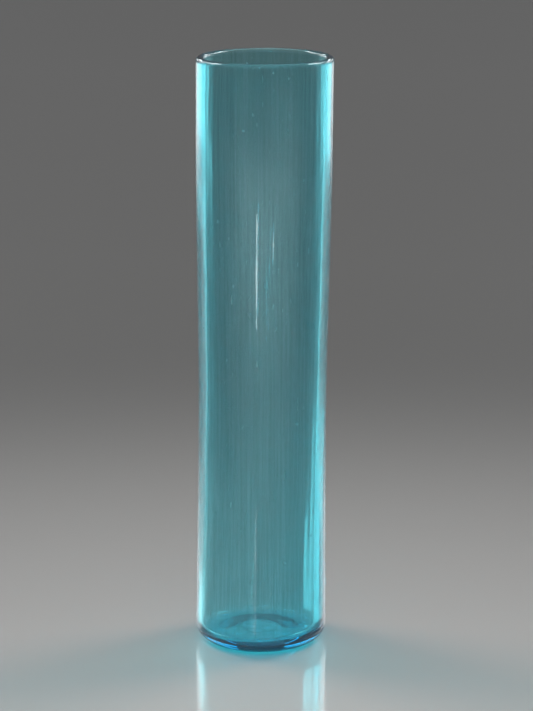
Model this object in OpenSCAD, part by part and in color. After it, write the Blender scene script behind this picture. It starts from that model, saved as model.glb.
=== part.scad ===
// Hand blown glass cylinder vase, in millimetres. It stands on z = 0, centred on the Z axis.
// Every region that the glassblower shapes is a solid of its own: the lip, the wall, the heel with
// its resting ring, the floor with its kick-up, and the pontil mark. Neighbours meet face to face.

/* [Overall] */
// Height from the resting ring to the top of the lip
vase_h = 305; // [290:1:360]
// Outside diameter of the wall under the lip
mouth_d = 69.6; // [68:0.2:78]
// Outside diameter at the narrowest place of the wall
waist_d = 66; // [60:0.2:68]
// Outside diameter where the heel meets the wall
foot_d = 68; // [66:0.2:76]

/* [Wall] */
// Thickness of the blown wall
wall_t = 4.3; // [3:0.1:5.5]
// Height of the narrowest place of the wall
waist_z = 125; // [60:1:180]
// Height at which the wall has widened to the mouth diameter
shoulder_z = 265; // [200:1:280]

/* [Lip] */
// Height of the fire-polished lip
lip_h = 5; // [4:0.5:8]
// Thickness of the rounded bead at its top
lip_t = 4.7; // [4:0.1:6]

/* [Base] */
// Radius of the rounded outside corner under the wall
heel_r = 9; // [6:0.1:10]
// Thickness of the floor over the resting ring
floor_t = 6.5; // [5:0.1:9]
// Radius of the inside corner between floor and wall
inner_corner_r = 3.4; // [2:0.1:4.3]
// Radius of the floor disc, inside the heel
floor_r = 20; // [19:0.1:21]
// Radius of the kick-up's edge on the underside
kick_r = 18; // [15:0.1:18.5]
// Height of the kick-up at its centre
kick_h = 3; // [2:0.1:3.5]

/* [Pontil mark] */
// Diameter of the scar left by the pontil rod
pontil_d = 20; // [12:0.5:24]
// Gap between the scar and the table
pontil_gap = 1.2; // [0.6:0.1:1.6]

/* [Hidden] */
$fn = 96;

turquoise = [0.28, 0.74, 0.80, 0.55];
pale_turquoise = [0.55, 0.88, 0.92, 0.55];
deep_turquoise = [0.05, 0.45, 0.62, 0.65];
frosted_turquoise = [0.70, 0.90, 0.94, 0.80];

mouth_r = mouth_d / 2;
waist_r = waist_d / 2;
foot_r = foot_d / 2;
lip_z = vase_h - lip_h;
bead_r = lip_t / 2;
least_straight = 0.5;
heel_top = max(heel_r + least_straight, floor_t + inner_corner_r);
cavity_r = foot_r - wall_t;
cavity_corner_x = cavity_r - inner_corner_r;
kick_sphere_r = (kick_r * kick_r + kick_h * kick_h) / (2 * kick_h);
wall_rings = 24;
kick_facets = 720;

// Smooth step from 0 to 1, level at both ends.
function ease(t) = t * t * (3 - 2 * t);

// Outside radius of the wall: it draws in from the heel to the waist, then widens to the mouth.
function below_waist(z) = pow((waist_z - z) / (waist_z - heel_top), 2);
function above_waist(z) = ease(min(1, (z - waist_z) / (shoulder_z - waist_z)));
function outer_r(z) = z < waist_z
    ? waist_r + (foot_r - waist_r) * below_waist(z)
    : waist_r + (mouth_r - waist_r) * above_waist(z);

function ring_z(i) = heel_top + (lip_z - heel_top) * i / wall_rings;

// Section of the whole base, from the axis to the outside, up to where the wall starts.
module base_section() {
    intersection() {
        square([foot_r, heel_top]);
        union() {
            square([foot_r - heel_r, heel_top]);
            translate([0, heel_r]) square([foot_r, heel_top]);
            translate([foot_r - heel_r, heel_r]) circle(r = heel_r);
        }
    }
}

// Section of the hollow inside the base, with its rounded corner.
module cavity_section() {
    translate([0, floor_t]) square([cavity_corner_x, heel_top]);
    translate([0, floor_t + inner_corner_r]) square([cavity_r, heel_top]);
    translate([cavity_corner_x, floor_t + inner_corner_r]) circle(r = inner_corner_r);
}

// Section of the ball that the kick-up is pressed to, its centre below the table.
module kick_section() {
    translate([0, kick_h - kick_sphere_r]) circle(r = kick_sphere_r, $fn = kick_facets);
}

module lip() {
    color(pale_turquoise)
    rotate_extrude() {
        translate([mouth_r - wall_t, lip_z]) square([wall_t, lip_h - bead_r]);
        translate([mouth_r - wall_t / 2, vase_h - bead_r]) circle(r = bead_r);
    }
}

module wall() {
    outside = [for (i = [0:wall_rings]) [outer_r(ring_z(i)), ring_z(i)]];
    inside = [for (i = [wall_rings:-1:0]) [outer_r(ring_z(i)) - wall_t, ring_z(i)]];
    color(turquoise)
    rotate_extrude() polygon(concat(outside, inside));
}

module heel() {
    color(deep_turquoise)
    rotate_extrude()
    difference() {
        base_section();
        cavity_section();
        square([floor_r, heel_top]);
    }
}

module floor() {
    color(turquoise)
    rotate_extrude()
    difference() {
        square([floor_r, floor_t]);
        kick_section();
    }
}

module pontil_mark() {
    color(frosted_turquoise)
    rotate_extrude()
    intersection() {
        translate([0, pontil_gap]) square([pontil_d / 2, kick_h]);
        kick_section();
    }
}

lip();
wall();
heel();
floor();
pontil_mark();
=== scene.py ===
# Looks of a hand blown turquoise glass cylinder vase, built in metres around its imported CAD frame.
import math

import bpy
import numpy as np
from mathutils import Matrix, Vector


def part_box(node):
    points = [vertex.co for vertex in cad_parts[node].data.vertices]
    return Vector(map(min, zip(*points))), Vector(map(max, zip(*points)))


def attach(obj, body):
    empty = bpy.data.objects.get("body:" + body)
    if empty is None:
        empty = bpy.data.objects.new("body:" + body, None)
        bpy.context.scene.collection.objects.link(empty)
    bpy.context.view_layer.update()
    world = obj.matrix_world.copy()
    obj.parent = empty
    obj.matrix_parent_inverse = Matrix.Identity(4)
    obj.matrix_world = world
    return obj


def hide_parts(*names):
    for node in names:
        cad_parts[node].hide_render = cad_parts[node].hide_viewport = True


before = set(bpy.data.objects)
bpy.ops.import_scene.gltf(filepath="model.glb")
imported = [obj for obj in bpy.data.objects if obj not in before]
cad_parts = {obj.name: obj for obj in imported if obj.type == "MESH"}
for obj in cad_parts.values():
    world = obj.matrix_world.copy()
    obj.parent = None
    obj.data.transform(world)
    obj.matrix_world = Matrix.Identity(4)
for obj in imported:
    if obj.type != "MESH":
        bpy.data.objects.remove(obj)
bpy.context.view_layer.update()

MM = 0.001
ACROSS, ALONG, UP = 0, 1, 2

# Sizes read from the CAD nodes.
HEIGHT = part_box("lip")[1][UP]
MOUTH_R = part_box("wall")[1][ACROSS]
FOOT_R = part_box("heel")[1][ACROSS]
HEEL_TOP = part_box("heel")[1][UP]
FLOOR_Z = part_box("floor")[1][UP]
SCAR_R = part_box("pontil_mark")[1][ACROSS]
SCAR_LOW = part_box("pontil_mark")[0][UP]

# The rest of the blown shape.
WAIST_R = 33.0 * MM
WAIST_Z = 125 * MM
SHOULDER_Z = 265 * MM
WALL = 4.3 * MM
LIP_R = WALL / 2
LIP_REACH = 3 * MM  # the profile's rings lie close together this far down from the lip
HEEL_R = 9 * MM
CREASE_R = 27.0 * MM
CREASE_HALF = 0.35 * MM
CORNER_Z = 11.5 * MM
KICK_FLAT_R = 8 * MM
KICK_R = 23.5 * MM
KICK_H = 3 * MM
FLOOR_RISE = 1.0 * MM
FLOOR_RISE_R = 17 * MM

# What the hand leaves in it: a lean, a hollow that sits off centre low down, and a tilted floor.
LEAN_AT_FOOT = -1.1 * MM
LEAN_AT_MOUTH = 1.15 * MM
HOLLOW_SHIFT = -1.3 * MM
HOLLOW_SHIFT_HEIGHT = 150 * MM
FLOOR_TILT = 0.022
FLOOR_BLEND = 30 * MM
OVAL = 0.12 * MM
WAVES = 0.06 * MM
WAVE_LENGTH = 58 * MM
UNEVEN_R, UNEVEN_R_BLEND = 24 * MM, 6 * MM
UNEVEN_Z, UNEVEN_Z_BLEND = 6 * MM, 20 * MM

# Cords: the depth of the ribs and how many go round, least and most, outside and inside.
RIBS_OUT, MODES_OUT = 0.018 * MM, (5, 30)
RIBS_IN, MODES_IN = 0.035 * MM, (7, 44)
SWAY, SWAY_LENGTH = 1.1, 70 * MM
TWIST = 0.5

SEGMENTS = 240
SEED = 11

# Seed bubbles: how many there are and their usual radius when scattered, in upright trains and in
# the floor, then the few large ones as turn in degrees, height, radius and half length in millimetres.
SCATTERED_SEEDS, SCATTERED_R, SCATTERED_MOST = 800, 0.2 * MM, 0.48 * MM
SEED_TRAINS, TRAIN_R = 16, 0.18 * MM
FLOOR_SEEDS, FLOOR_SEED_R = 24, 0.13 * MM
FLOOR_SEED_REACH, FLOOR_SEED_Z = 22 * MM, 5.0 * MM
SEED_LOW, SEED_HIGH = 14, 298
SEED_SIDES = 6
LARGE_SEEDS = [
    (-83, 301, 0.42, 0.42), (-26, 299, 0.45, 0.5), (102, 300, 0.36, 0.36), (-38, 61, 0.5, 0.7),
    (-76, 24, 0.45, 0.55), (-98, 27, 0.4, 0.5), (-97, 33, 0.38, 0.6), (-60, 212, 0.26, 1.4),
    (-118, 148, 0.24, 1.1), (-74, 96, 0.28, 0.9), (-131, 214, 0.24, 1.6), (-49, 130, 0.26, 1.2),
    (35, 220, 0.3, 0.9), (160, 90, 0.32, 0.8), (80, 170, 0.28, 1.3), (-160, 60, 0.3, 0.5),
]

# The broken scar under the kick-up. Each chip is a flat: its place in x and y, its slopes in x and y,
# its height over the scar's lowest point and its reach, in millimetres.
SCAR_CHIPS = [
    (-5.2, 0.5, 0.24, 0.30, 0.9, 4.2), (5.4, -1.2, -0.30, 0.26, 0.9, 4.8),
    (3.4, 6.2, -0.12, -0.32, 0.9, 2.8), (-2.2, -6.6, 0.10, 0.34, 0.9, 2.6),
]
SCAR_SINK = 0.05 * MM
SCAR_THICKNESS, SCAR_THINNEST = 0.5 * MM, 0.2 * MM
SCAR_RINGS, SCAR_SEGMENTS = 26, 96


# ---------------------------------------------------------------- shape of the glass

def ease(t):
    t = np.clip(t, 0, 1)
    return t * t * (3 - 2 * t)


def outer_radius(z):
    below = WAIST_R + (FOOT_R - WAIST_R) * ((WAIST_Z - z) / (WAIST_Z - HEEL_TOP)) ** 2
    above = WAIST_R + (MOUTH_R - WAIST_R) * ease((z - WAIST_Z) / (SHOULDER_Z - WAIST_Z))
    return np.where(z < WAIST_Z, below, above)


def inner_radius(z):
    return outer_radius(z) - WALL


def kick_height(radius):
    return KICK_H * (1 - ease((radius - KICK_FLAT_R) / (KICK_R - KICK_FLAT_R)))


def arc(centre_r, centre_z, radius, start, end, steps):
    """Points on an arc, from start to end degrees, both ends included."""
    turn = np.radians(np.linspace(start, end, steps))
    return np.stack([centre_r + radius * np.cos(turn), centre_z + radius * np.sin(turn)], 1)


def bend(start, middle, end, steps):
    """Points on a curve that leaves start towards middle and comes into end from there."""
    t = np.linspace(0, 1, steps)[:, None]
    return (1 - t) ** 2 * np.array(start) + 2 * t * (1 - t) * np.array(middle) + t ** 2 * np.array(end)


def profile():
    """Radius, height and inwardness (0 outside, 1 inside) of each ring, from under the kick-up
    round the heel, up the wall, over the lip, down the hollow and in to the middle of the floor."""
    kick_r = KICK_R * np.linspace(0, 1, 26)[1:]
    kick = np.stack([kick_r, kick_height(kick_r)], 1)
    heel = arc(FOOT_R - HEEL_R, HEEL_R, HEEL_R, -90, 0, 17)
    lip_z = HEIGHT - LIP_R
    near_lip = np.linspace(LIP_REACH, 0, 11)[:-1]
    outer_z = np.concatenate([np.linspace(HEEL_TOP, lip_z - LIP_REACH, 97)[:-1], lip_z - near_lip])
    outer = np.stack([outer_radius(outer_z), outer_z], 1)
    lip = arc(MOUTH_R - LIP_R, lip_z, LIP_R, 0, 180, 19)
    lower_z = np.linspace(lip_z - LIP_REACH, CORNER_Z, 112)[1:-1]
    inner_z = np.concatenate([lip_z - near_lip[::-1], lower_z])
    inner = np.stack([inner_radius(inner_z), inner_z], 1)
    corner_top = inner_radius(CORNER_Z)
    corner = bend((corner_top, CORNER_Z), (corner_top, 0.7 * CORNER_Z), (CREASE_R, FLOOR_Z), 17)[:-1]
    crease = np.array([CREASE_R, FLOOR_Z]) + CREASE_HALF * np.array([[0.7, 0.7], [0, 0.15], [-1, 0]])
    floor_r = (CREASE_R - 2 * CREASE_HALF) * np.linspace(1, 0, 26)[:-1]
    floor = np.stack([floor_r, FLOOR_Z + 0 * floor_r], 1)
    parts = [(kick, 0), (heel, 0), (outer, 0), (lip, None),
             (inner, 1), (corner, 1), (crease, 1), (floor, 1)]
    rings = np.concatenate([part for part, _ in parts])
    inward = np.concatenate([
        np.linspace(0, 1, len(part)) if side is None else np.full(len(part), float(side))
        for part, side in parts
    ])
    return rings[:, 0], rings[:, 1], inward


def cords(turn, height, seed, lowest, highest):
    """Soft ribs that run up the glass with a slow twist, as blown glass has: about -1 to 1."""
    draw = np.random.default_rng(seed)
    total = 0
    scale = 0
    for mode in range(lowest, highest + 1):
        size = draw.uniform(0.3, 1) / mode ** 0.5
        phase, twist, sway = draw.uniform(0, 2 * np.pi, 3)
        drift = SWAY * np.sin(height / SWAY_LENGTH + sway) + TWIST * (twist - np.pi) * height / HEIGHT
        total = total + size * np.cos(mode * turn + phase + drift)
        scale += size ** 2
    return total / (2 * scale) ** 0.5


def shaped(radius, height, inward, turn):
    """Places in the row frame for rings of the profile, with the lean and the hand's unevenness."""
    wall_part = ease((radius - UNEVEN_R) / UNEVEN_R_BLEND)
    up_part = ease((height - UNEVEN_Z) / UNEVEN_Z_BLEND)
    oval = OVAL * np.cos(2 * turn + 0.7 + 3 * height / HEIGHT)
    ribs_out = RIBS_OUT * cords(turn, height, SEED, *MODES_OUT)
    ribs_in = RIBS_IN * cords(turn, height, SEED + 1, *MODES_IN)
    waves = WAVES * np.sin(2 * np.pi * height / WAVE_LENGTH + 2 * turn) * np.cos(turn - 0.9)
    uneven = oval + ribs_out * (1 - inward) + (ribs_in + waves) * inward
    radius = radius + uneven * wall_part * up_part
    lean = LEAN_AT_FOOT + (LEAN_AT_MOUTH - LEAN_AT_FOOT) * height / HEIGHT
    shift = HOLLOW_SHIFT * inward * ease(1 - height / HOLLOW_SHIFT_HEIGHT)
    x = lean + shift + radius * np.cos(turn)
    y = 0.3 * shift + radius * np.sin(turn)
    on_floor = inward * ease(1 - (height - FLOOR_Z) / FLOOR_BLEND)
    dome = FLOOR_RISE * (0.5 + 0.5 * np.cos(np.pi * np.clip(radius / FLOOR_RISE_R, 0, 1)))
    z = height + on_floor * (FLOOR_TILT * radius * np.cos(turn + 0.25) + dome)
    return np.stack([x, y, z + np.zeros_like(x)], -1)


def mesh_object(name, vertices, faces, smooth=True):
    mesh = bpy.data.meshes.new(name)
    mesh.from_pydata([tuple(v) for v in vertices], [], faces)
    mesh.polygons.foreach_set("use_smooth", [smooth] * len(faces))
    mesh.update()
    made = bpy.data.objects.new(name, mesh)
    bpy.context.scene.collection.objects.link(made)
    return made


def lathe_faces(rings, segments, first, last):
    """Quads between rings, and fans to the points first and last on the axis."""
    faces = []
    for i in range(rings - 1):
        for j in range(segments):
            k = (j + 1) % segments
            faces.append((i * segments + j, i * segments + k,
                          (i + 1) * segments + k, (i + 1) * segments + j))
    end = (rings - 1) * segments
    for j in range(segments):
        k = (j + 1) % segments
        faces.append((first, k, j))
        faces.append((last, end + j, end + k))
    return faces


def glass_point(depth, z, turn):
    """A place inside the wall: depth 0 is its outer skin and 1 its inner one."""
    outside = shaped(outer_radius(z), z, 0.0, turn)
    inside = shaped(inner_radius(z), z, 1.0, turn)
    return outside + (inside - outside) * depth


def seed_places():
    """Centre, radius and length of each seed bubble that was caught in the glass."""
    draw = np.random.default_rng(SEED + 2)
    seeds = []
    for _ in range(SCATTERED_SEEDS):
        size = min(SCATTERED_R * draw.lognormal(0, 0.4), SCATTERED_MOST)
        stretch = draw.uniform(2, 6) if draw.random() < 0.3 else draw.uniform(1, 1.4)
        depth = draw.uniform(0.22, 0.78)
        z = draw.uniform(SEED_LOW, SEED_HIGH) * MM
        place = glass_point(depth, z, draw.uniform(0, 2 * np.pi))
        seeds.append((place, size, size * stretch))
    for _ in range(SEED_TRAINS):
        turn, z, depth = draw.uniform(0, 2 * np.pi), draw.uniform(30, 230) * MM, draw.uniform(0.3, 0.7)
        for _ in range(draw.integers(6, 13)):
            z += draw.uniform(2, 7) * MM
            turn += draw.normal(0, 0.012)
            size = TRAIN_R * draw.uniform(0.7, 1.5)
            place = glass_point(depth, min(z, SEED_HIGH * MM), turn)
            seeds.append((place, size, size * draw.uniform(1, 3)))
    for turn, z, size, length in LARGE_SEEDS:
        place = glass_point(0.45, z * MM, math.radians(turn))
        seeds.append((place, size * MM, length * MM))
    for _ in range(FLOOR_SEEDS):
        reach, turn = FLOOR_SEED_REACH * draw.random() ** 0.5, draw.uniform(0, 2 * np.pi)
        size = FLOOR_SEED_R * draw.uniform(0.7, 1.8)
        place = shaped(reach, FLOOR_SEED_Z, 0.0, turn)
        seeds.append((place, size, size))
    return seeds


def seed_skin():
    """A small ball of radius 1, with its faces turned inwards, as the skin of a void has them."""
    points = [(0, 0, 1)]
    for tilt in (45, 90, 135):
        for i in range(SEED_SIDES):
            turn, lean = 2 * np.pi * i / SEED_SIDES, math.radians(tilt)
            out, up = math.sin(lean), math.cos(lean)
            points.append((out * math.cos(turn), out * math.sin(turn), up))
    points.append((0, 0, -1))
    last = len(points) - 1
    faces = []
    for i in range(SEED_SIDES):
        k = (i + 1) % SEED_SIDES
        faces.append((0, 1 + k, 1 + i))
        faces.append((last, 1 + 2 * SEED_SIDES + i, 1 + 2 * SEED_SIDES + k))
        for ring in range(2):
            low = 1 + ring * SEED_SIDES
            faces.append((low + i, low + k, low + SEED_SIDES + k, low + SEED_SIDES + i))
    return np.array(points), faces


def with_seeds(vertices, faces):
    """The vessel's mesh with every seed added as a closed void inside the glass."""
    ball, skin = seed_skin()
    blocks, count = [vertices], len(vertices)
    for place, size, length in seed_places():
        blocks.append(place + ball * np.array([size, size, length]))
        faces += [tuple(count + i for i in face) for face in skin]
        count += len(ball)
    return np.concatenate(blocks), faces


def make_vessel():
    radius, height, inward = profile()
    turn = np.linspace(0, 2 * np.pi, SEGMENTS, endpoint=False)
    grid = shaped(radius[:, None], height[:, None], inward[:, None], turn[None, :])
    under = shaped(np.array([0.0]), np.array([KICK_H]), np.array([0.0]), np.array([0.0]))
    inside = shaped(np.array([0.0]), np.array([FLOOR_Z]), np.array([1.0]), np.array([0.0]))
    vertices = np.concatenate([grid.reshape(-1, 3), under, inside])
    count = len(radius) * SEGMENTS
    faces = lathe_faces(len(radius), SEGMENTS, count, count + 1)
    vertices, faces = with_seeds(vertices, faces)
    return mesh_object("glass_vessel", vertices, faces)


def make_scar():
    """The pontil scar: a thin plug of glass under the kick-up, its lower side broken into flat chips
    round a smoother middle. Its upper side sinks a hair into the floor that it is fused to."""
    segments = SCAR_SEGMENTS
    turn = np.linspace(0, 2 * np.pi, segments, endpoint=False)
    edge = SCAR_R * (0.93 + 0.05 * np.sin(3 * turn + 0.8) + 0.02 * np.sin(7 * turn))
    share = np.linspace(0, 1, SCAR_RINGS)[1:]
    x = share[:, None] * edge * np.cos(turn)
    y = share[:, None] * edge * np.sin(turn)
    top = kick_height(np.hypot(x, y)) + SCAR_SINK
    bottom = top - SCAR_THICKNESS
    for place_x, place_y, slope_x, slope_y, low, reach in SCAR_CHIPS:
        off_x, off_y = x - place_x * MM, y - place_y * MM
        flat = SCAR_LOW + low * MM + slope_x * off_x + slope_y * off_y
        bottom = np.where(np.hypot(off_x, off_y) < reach * MM, np.minimum(bottom, flat), bottom)
    bottom = np.clip(bottom, SCAR_LOW, top - SCAR_THINNEST)
    upper = np.stack([x, y, top], -1).reshape(-1, 3)
    lower = np.stack([x, y, bottom], -1).reshape(-1, 3)
    middle_top = KICK_H + SCAR_SINK
    middle = np.array([[0, 0, middle_top], [0, 0, middle_top - SCAR_THICKNESS]])
    vertices = np.concatenate([upper, lower, middle])
    vertices[:, 0] += LEAN_AT_FOOT
    ring_count = SCAR_RINGS - 1
    half = ring_count * segments
    faces = []
    for i in range(ring_count - 1):
        for j in range(segments):
            k = (j + 1) % segments
            a, b = i * segments + j, i * segments + k
            c, d = b + segments, a + segments
            faces.append((a, d, c, b))
            faces.append((half + a, half + b, half + c, half + d))
    outer = (ring_count - 1) * segments
    for j in range(segments):
        k = (j + 1) % segments
        faces.append((2 * half, j, k))
        faces.append((2 * half + 1, half + k, half + j))
        faces.append((outer + j, half + outer + j, half + outer + k, outer + k))
    return mesh_object("pontil_scar", vertices, faces, smooth=False)


# ---------------------------------------------------------------- materials

# Share of the light that the glass lets straight through. Fine dust and haze scatter the rest.
HAZED = 0.92

# What the glass keeps of each colour, how strongly it absorbs the rest, and what a lamp's light loses
# at each surface on its way through.
GLASS_COLOUR = (0.039, 0.867, 0.933, 1)
GLASS_IOR = 1.5
VESSEL_DENSITY = 180.0
SCAR_DENSITY = 60.0
SHADOW_COLOUR = (0.93, 0.93, 0.93, 1)
WHITE = (1, 1, 1, 1)


def new_material(name):
    made = bpy.data.materials.new(name)
    made.use_nodes = True
    tree = made.node_tree
    return made, tree, tree.nodes["Principled BSDF"], tree.nodes["Material Output"]


def node(tree, kind, **values):
    """A node of that kind with its input values set by name."""
    made = tree.nodes.new(kind)
    for name, value in values.items():
        made.inputs[name.replace("_", " ")].default_value = value
    return made


def stretched_noise(tree, across, up, scale, detail):
    """Noise over the object's own space, drawn out along the height where up is small."""
    place = tree.nodes.new("ShaderNodeTexCoord")
    stretch = node(tree, "ShaderNodeMapping", Scale=(across, across, up))
    noise = node(tree, "ShaderNodeTexNoise", Scale=scale, Detail=detail, Roughness=0.65)
    tree.links.new(place.outputs["Object"], stretch.inputs["Vector"])
    tree.links.new(stretch.outputs["Vector"], noise.inputs["Vector"])
    return noise.outputs["Fac"]


def bump(tree, shader, height, strength, distance):
    made = node(tree, "ShaderNodeBump", Strength=strength, Distance=distance)
    tree.links.new(height, made.inputs["Height"])
    tree.links.new(made.outputs["Normal"], shader.inputs["Normal"])


def tinted(tree, shader, height, dark):
    """Lets the glass pass a little less light, down to that colour, where height is low."""
    ramp = tree.nodes.new("ShaderNodeValToRGB")
    ramp.color_ramp.elements[0].position = 0.38
    ramp.color_ramp.elements[0].color = dark
    ramp.color_ramp.elements[1].position = 0.62
    ramp.color_ramp.elements[1].color = WHITE
    tree.links.new(height, ramp.inputs["Fac"])
    tree.links.new(ramp.outputs["Color"], shader.inputs["Base Color"])


def clear_glass(name, density, through=HAZED):
    """Clear glass that takes out red as light passes through it, and lets lamps shine through."""
    made, tree, shader, out = new_material(name)
    shader.inputs["Roughness"].default_value = 0.0
    shader.inputs["IOR"].default_value = GLASS_IOR
    shader.inputs["Transmission Weight"].default_value = through
    tint = node(tree, "ShaderNodeVolumeAbsorption", Color=GLASS_COLOUR, Density=density)
    tree.links.new(tint.outputs["Volume"], out.inputs["Volume"])
    path = tree.nodes.new("ShaderNodeLightPath")
    shadow = node(tree, "ShaderNodeBsdfTransparent", Color=SHADOW_COLOUR)
    either = tree.nodes.new("ShaderNodeMixShader")
    tree.links.new(path.outputs["Is Shadow Ray"], either.inputs["Fac"])
    tree.links.new(shader.outputs["BSDF"], either.inputs[1])
    tree.links.new(shadow.outputs["BSDF"], either.inputs[2])
    tree.links.new(either.outputs["Shader"], out.inputs["Surface"])
    return made, tree, shader


def vessel_glass():
    made, tree, shader = clear_glass("turquoise_glass", VESSEL_DENSITY)
    streaks = stretched_noise(tree, 1000, 8, 1.0, 4.0)
    tinted(tree, shader, streaks, (0.74, 0.80, 0.805, 1))
    drawn = stretched_noise(tree, 260, 9, 1.0, 3.0)
    bump(tree, shader, drawn, 0.25, 0.00006)
    return made


def scar_glass():
    made, tree, shader = clear_glass("broken_glass", SCAR_DENSITY, through=0.85)
    chips = stretched_noise(tree, 500, 500, 1.0, 3.0)
    tinted(tree, shader, chips, (0.8, 0.93, 0.95, 1))
    bump(tree, shader, chips, 0.3, 0.0002)
    return made


def floor_paint():
    """Plain pale matt paint under a clear gloss."""
    made, _, shader, _ = new_material("pale_floor")
    shader.inputs["Base Color"].default_value = (0.55, 0.54, 0.53, 1)
    shader.inputs["Roughness"].default_value = 0.5
    shader.inputs["Coat Weight"].default_value = 1.0
    shader.inputs["Coat Roughness"].default_value = 0.1
    return made


# ---------------------------------------------------------------- stage, lamps, camera

# The floor lies a hair below the resting ring, so that the two surfaces do not coincide.
FLOOR_GAP = 0.05 * MM
FLOOR_HALF = 12.0
PANEL_DISTANCE = 25

# Strength of the room's light at the horizon and overhead, and the share of the way up between which
# it changes.
HORIZON, CEILING = 0.09, 0.13
CHANGE_FROM, CHANGE_TO = 0.35, 0.8

CAMERA_PLACE = (1.95 * MM, -1.4013, 0.4857)
CAMERA_DOWN = 13.43
CAMERA_LENS = 142.3


def make_floor():
    signs = ((-1, -1), (1, -1), (1, 1), (-1, 1))
    corners = [(x * FLOOR_HALF, y * FLOOR_HALF, -FLOOR_GAP) for x, y in signs]
    made = mesh_object("floor_plane", corners, [(0, 1, 2, 3)], smooth=False)
    made.data.materials.append(floor_paint())


def make_lamp(name, place, target, size, radiance, spread=180):
    """A rectangular soft lamp of that brightness, turned towards the target."""
    data = bpy.data.lights.new(name, "AREA")
    data.shape = "RECTANGLE"
    data.size, data.size_y = size
    data.energy = radiance * math.pi * size[0] * size[1]
    data.spread = math.radians(spread)
    made = bpy.data.objects.new(name, data)
    bpy.context.scene.collection.objects.link(made)
    made.location = place
    direction = Vector(np.array(target) - np.array(place))
    made.rotation_euler = direction.to_track_quat("-Z", "Y").to_euler()
    made.visible_camera = False


def make_panel(name, bearing, low, high, width, radiance):
    """A far upright lamp that faces the vase. Bearing is in degrees from +Y towards +X."""
    turn = math.radians(bearing)
    x, y, z = PANEL_DISTANCE * math.sin(turn), PANEL_DISTANCE * math.cos(turn), (low + high) / 2
    make_lamp(name, (x, y, z), (0, 0, z), (width, high - low), radiance)


def make_world():
    """A dim even room, a little brighter overhead."""
    world = bpy.data.worlds.new("studio")
    bpy.context.scene.world = world
    world.use_nodes = True
    tree = world.node_tree
    background = tree.nodes["Background"]
    background.inputs["Color"].default_value = (0.97, 0.985, 1.0, 1)
    place = tree.nodes.new("ShaderNodeTexCoord")
    parts = tree.nodes.new("ShaderNodeSeparateXYZ")
    ceiling = tree.nodes.new("ShaderNodeMapRange")
    ceiling.interpolation_type = "SMOOTHSTEP"
    ceiling.inputs["From Min"].default_value = CHANGE_FROM
    ceiling.inputs["From Max"].default_value = CHANGE_TO
    ceiling.inputs["To Min"].default_value = HORIZON
    ceiling.inputs["To Max"].default_value = CEILING
    tree.links.new(place.outputs["Generated"], parts.inputs["Vector"])
    tree.links.new(parts.outputs["Z"], ceiling.inputs["Value"])
    tree.links.new(ceiling.outputs["Result"], background.inputs["Strength"])


def make_camera():
    data = bpy.data.cameras.new("camera")
    made = bpy.data.objects.new("camera", data)
    bpy.context.scene.collection.objects.link(made)
    made.location = CAMERA_PLACE
    made.rotation_euler = (math.radians(90 - CAMERA_DOWN), 0, 0)
    data.lens = CAMERA_LENS
    data.sensor_width = 36
    bpy.context.scene.camera = made


make_camera()
make_world()
make_floor()

# Far panels. The edges of the glass bend their light to the camera: the windows' near the mouth, the
# side panels' at mid height and, by way of the glossy floor, the sky panels' near the foot.
for side, sign in (("left", -1), ("right", 1)):
    make_panel(side + "_window", sign * 33, 2.5, 4.1, 15, 3.6)
    make_panel(side + "_sky", sign * 33, 7.2, 10.4, 15, 5.0)
    make_panel(side + "_side", sign * 52, 4.1, 7.2, 8, 2.0)
    make_panel(side + "_skylight", sign * 55, 12, 16, 20, 3.0)

# Near lamps. The pool lamps light the floor round the vase, and the strips make the two thin upright
# reflections on its front.
make_lamp("front_pool_lamp", (0, -1.1, 1.7), (0, -1.1, 0), (2.6, 0.8), 4.2, spread=60)
make_lamp("left_strip", (-0.092, -0.49, 0.09), (0, 0, 0.2), (0.012, 0.08), 14)
make_lamp("right_strip", (0.14, -0.48, 0.105), (0, 0, 0.2), (0.008, 0.02), 10)
make_lamp("left_pool_lamp", (-0.70, 0.42, 0.95), (0, -0.05, 0), (0.4, 0.4), 0.9, spread=50)
make_lamp("right_pool_lamp", (0.70, 0.42, 0.95), (0, -0.05, 0), (0.4, 0.4), 0.9, spread=50)

vessel = make_vessel()
vessel.data.materials.append(vessel_glass())
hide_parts("lip", "wall", "heel", "floor")
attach(vessel, "root")

scar = make_scar()
scar.data.materials.append(scar_glass())
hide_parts("pontil_mark")
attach(scar, "root")

bpy.context.scene.view_settings.view_transform = "Standard"
